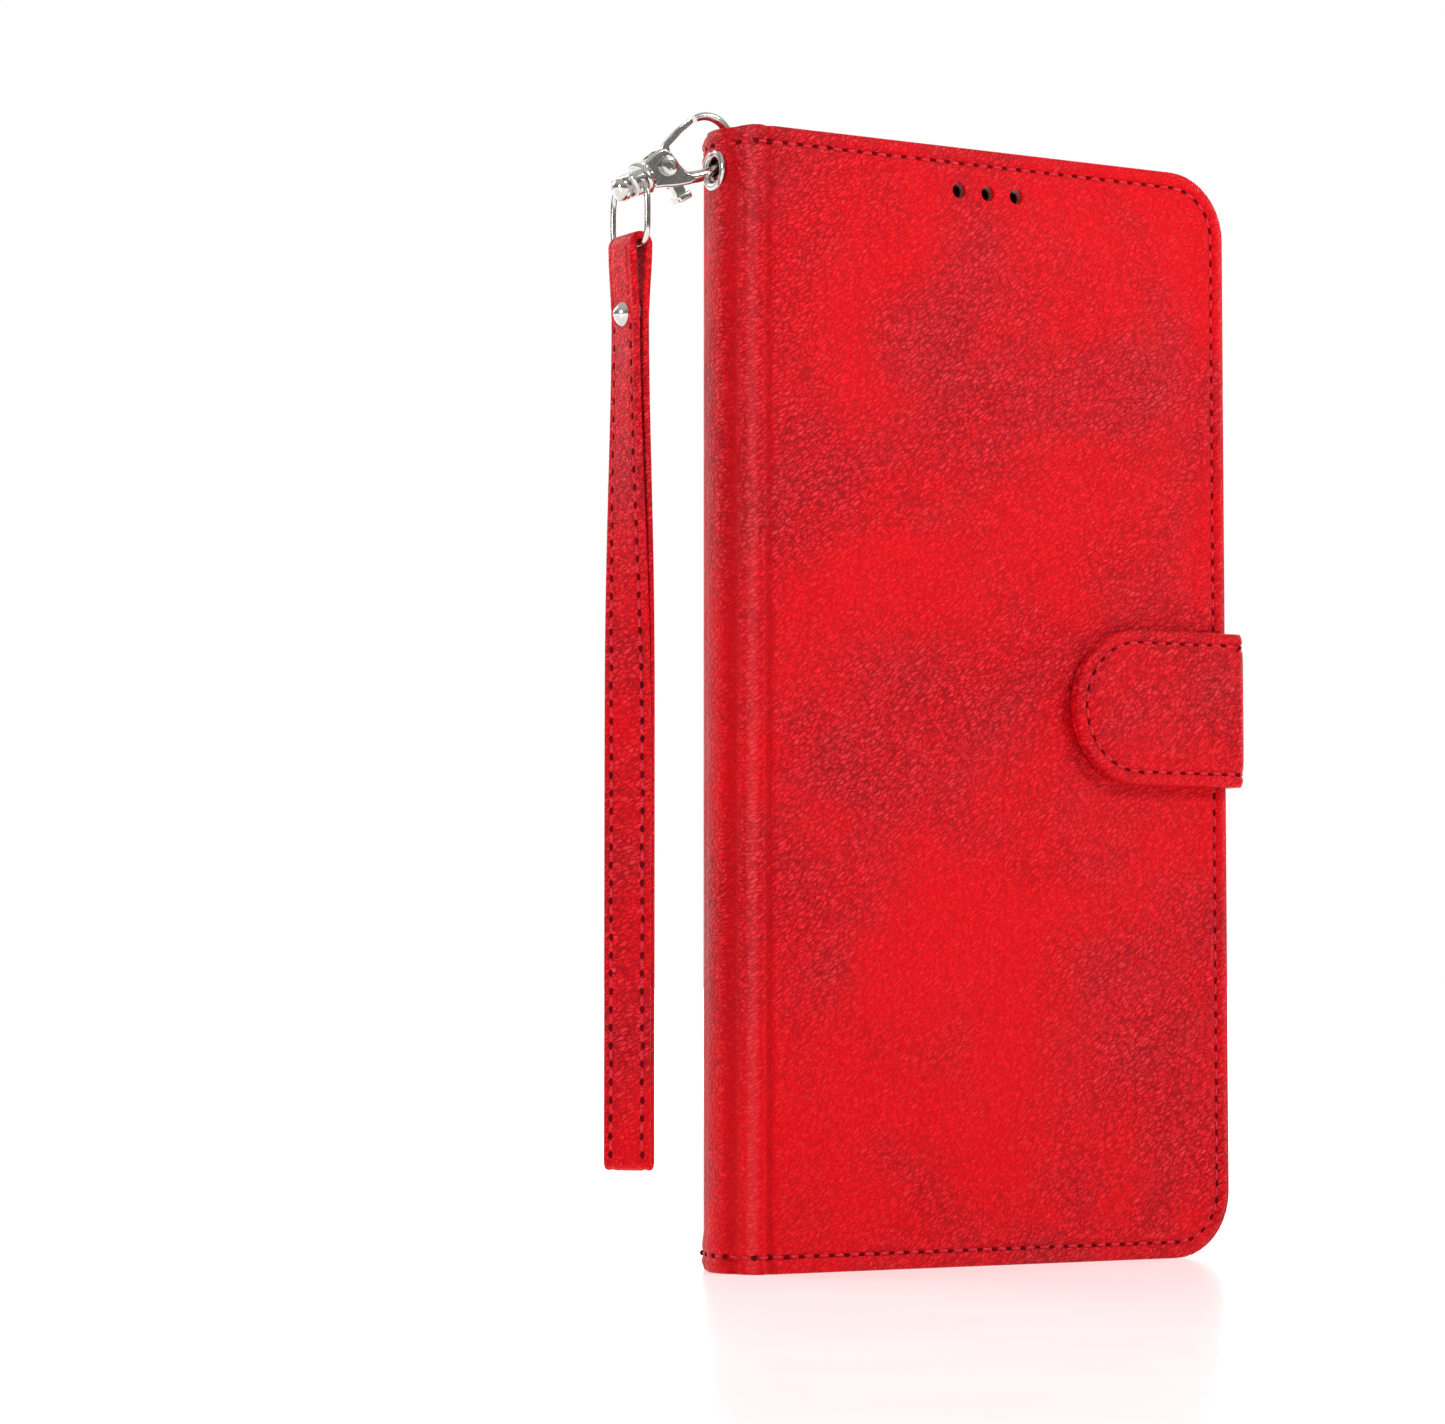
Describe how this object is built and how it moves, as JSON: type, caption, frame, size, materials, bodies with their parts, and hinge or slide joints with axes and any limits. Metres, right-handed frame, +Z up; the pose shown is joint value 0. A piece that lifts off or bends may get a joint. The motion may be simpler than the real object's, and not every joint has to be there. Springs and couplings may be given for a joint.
{
  "type": "phone wallet case",
  "caption": "Red leather folio phone case with a clasp tab, camera window, card pockets, a detachable magnetic inner case and a wrist strap on a swivel clasp.",
  "frame": {"origin": "middle of the back cover's thickness on its bottom edge, under the middle of the inner case", "axes": "+X from the spine to the fore edge, +Y to the rear, +Z up the closed case as it stands"},
  "size_m": [0.1074, 0.0175, 0.1706],
  "materials": {
    "red_leather": "fine grained, semi-gloss, mottled bright and dark red",
    "red_lining": "smooth matte dark red lining",
    "panel_board": "raw stiffening board",
    "magnet": "plated magnet",
    "steel_plate": "thin spring steel",
    "black_rubber": "matte soft-touch black",
    "nickel": "polished nickel plating"
  },
  "bodies": {
    "back_cover": {"back_cover_leather": "red_leather", "back_cover_board": "panel_board", "back_cover_lining": "red_lining", "back_magnet_1": "magnet", "back_magnet_2": "magnet", "back_magnet_3": "magnet", "back_magnet_4": "magnet"},
    "spine": {"spine_leather": "red_leather", "spine_board": "panel_board", "spine_lining": "red_lining", "strap_eyelet": "nickel"},
    "front_cover": {"front_cover_leather": "red_leather", "front_cover_board": "panel_board", "front_cover_lining": "red_lining", "catch_plate": "steel_plate", "cash_pocket": "red_lining", "card_slot_1": "red_leather", "card_slot_2": "red_leather", "card_slot_3": "red_leather"},
    "tab_band": {"tab_band_leather": "red_leather", "tab_band_lining": "red_lining"},
    "tab_flap": {"tab_flap_leather": "red_leather", "tab_flap_lining": "red_lining", "tab_magnet": "magnet"},
    "inner_case": {"bumper_frame": "black_rubber", "case_back_shell": "black_rubber", "case_plate_1": "steel_plate", "case_plate_2": "steel_plate", "case_back_leather": "red_leather"},
    "volume_button": {"volume_pad": "black_rubber"},
    "power_button": {"power_pad": "black_rubber"},
    "hook": {"hook_body": "nickel", "gate_rivet": "nickel", "gate_spring": "steel_plate", "swivel_rivet": "nickel"},
    "gate": {"gate_lever": "nickel"},
    "swivel": {"swivel_block": "nickel"},
    "ring": {"swivel_ring": "nickel"},
    "strap": {"strap_loop": "red_leather", "strap_rivet_cap": "nickel", "strap_rivet_back": "nickel"}
  },
  "joints": [
    {"name": "spine_fold", "type": "hinge", "parent": "back_cover", "child": "spine", "pos_m": [-0.04095, 0.00115, 0.084], "axis": [0, 0, -1], "range_deg": [0, 180], "deforming": ["tab_band_leather", "tab_band_lining", "tab_flap_leather", "tab_flap_lining", "tab_magnet"]},
    {"name": "cover_fold", "type": "hinge", "parent": "spine", "child": "front_cover", "pos_m": [-0.04095, -0.01435, 0.084], "axis": [0, 0, -1], "range_deg": [0, 180]},
    {"name": "tab_band_fold", "type": "hinge", "parent": "back_cover", "child": "tab_band", "pos_m": [0.04335, -0.0001, 0.0842], "axis": [0, 0, 1], "range_deg": [0, 95]},
    {"name": "tab_flap_fold", "type": "hinge", "parent": "tab_band", "child": "tab_flap", "pos_m": [0.0451, -0.01435, 0.0842], "axis": [0, 0, 1], "range_deg": [0, 90]},
    {"name": "case_slide", "type": "slide", "parent": "back_cover", "child": "inner_case", "axis": [0, 0, 1], "range_m": [0, 0.17]},
    {"name": "volume_press", "type": "slide", "parent": "inner_case", "child": "volume_button", "axis": [1, 0, 0], "range_m": [0, 0.0004], "stiffness_N_per_m": 600, "springref_m": -0.0003},
    {"name": "power_press", "type": "slide", "parent": "inner_case", "child": "power_button", "axis": [-1, 0, 0], "range_m": [0, 0.0004], "stiffness_N_per_m": 600, "springref_m": -0.0003},
    {"name": "hook_swing", "type": "hinge", "parent": "spine", "child": "hook", "pos_m": [-0.046, -0.0066, 0.16585], "axis": [0, 1, 0], "range_deg": [0, 50]},
    {"name": "gate_open", "type": "hinge", "parent": "hook", "child": "gate", "pos_m": [-0.05336, -0.0066, 0.1616], "axis": [0, 1, 0], "range_deg": [0, 18], "stiffness_Nm_per_rad": 0.002, "springref_deg": -17.19},
    {"name": "swivel_spin", "type": "hinge", "parent": "hook", "child": "swivel", "pos_m": [-0.05899, -0.0066, 0.15835], "axis": [-0.866, 0, -0.5], "continuous": true},
    {"name": "ring_tilt", "type": "hinge", "parent": "swivel", "child": "ring", "pos_m": [-0.05899, -0.0066, 0.15835], "axis": [0, 1, 0], "range_deg": [0, 75]},
    {"name": "strap_swing", "type": "hinge", "parent": "ring", "child": "strap", "pos_m": [-0.05899, -0.0066, 0.14935], "axis": [0, 1, 0], "range_deg": [-4, 75]}
  ]
}
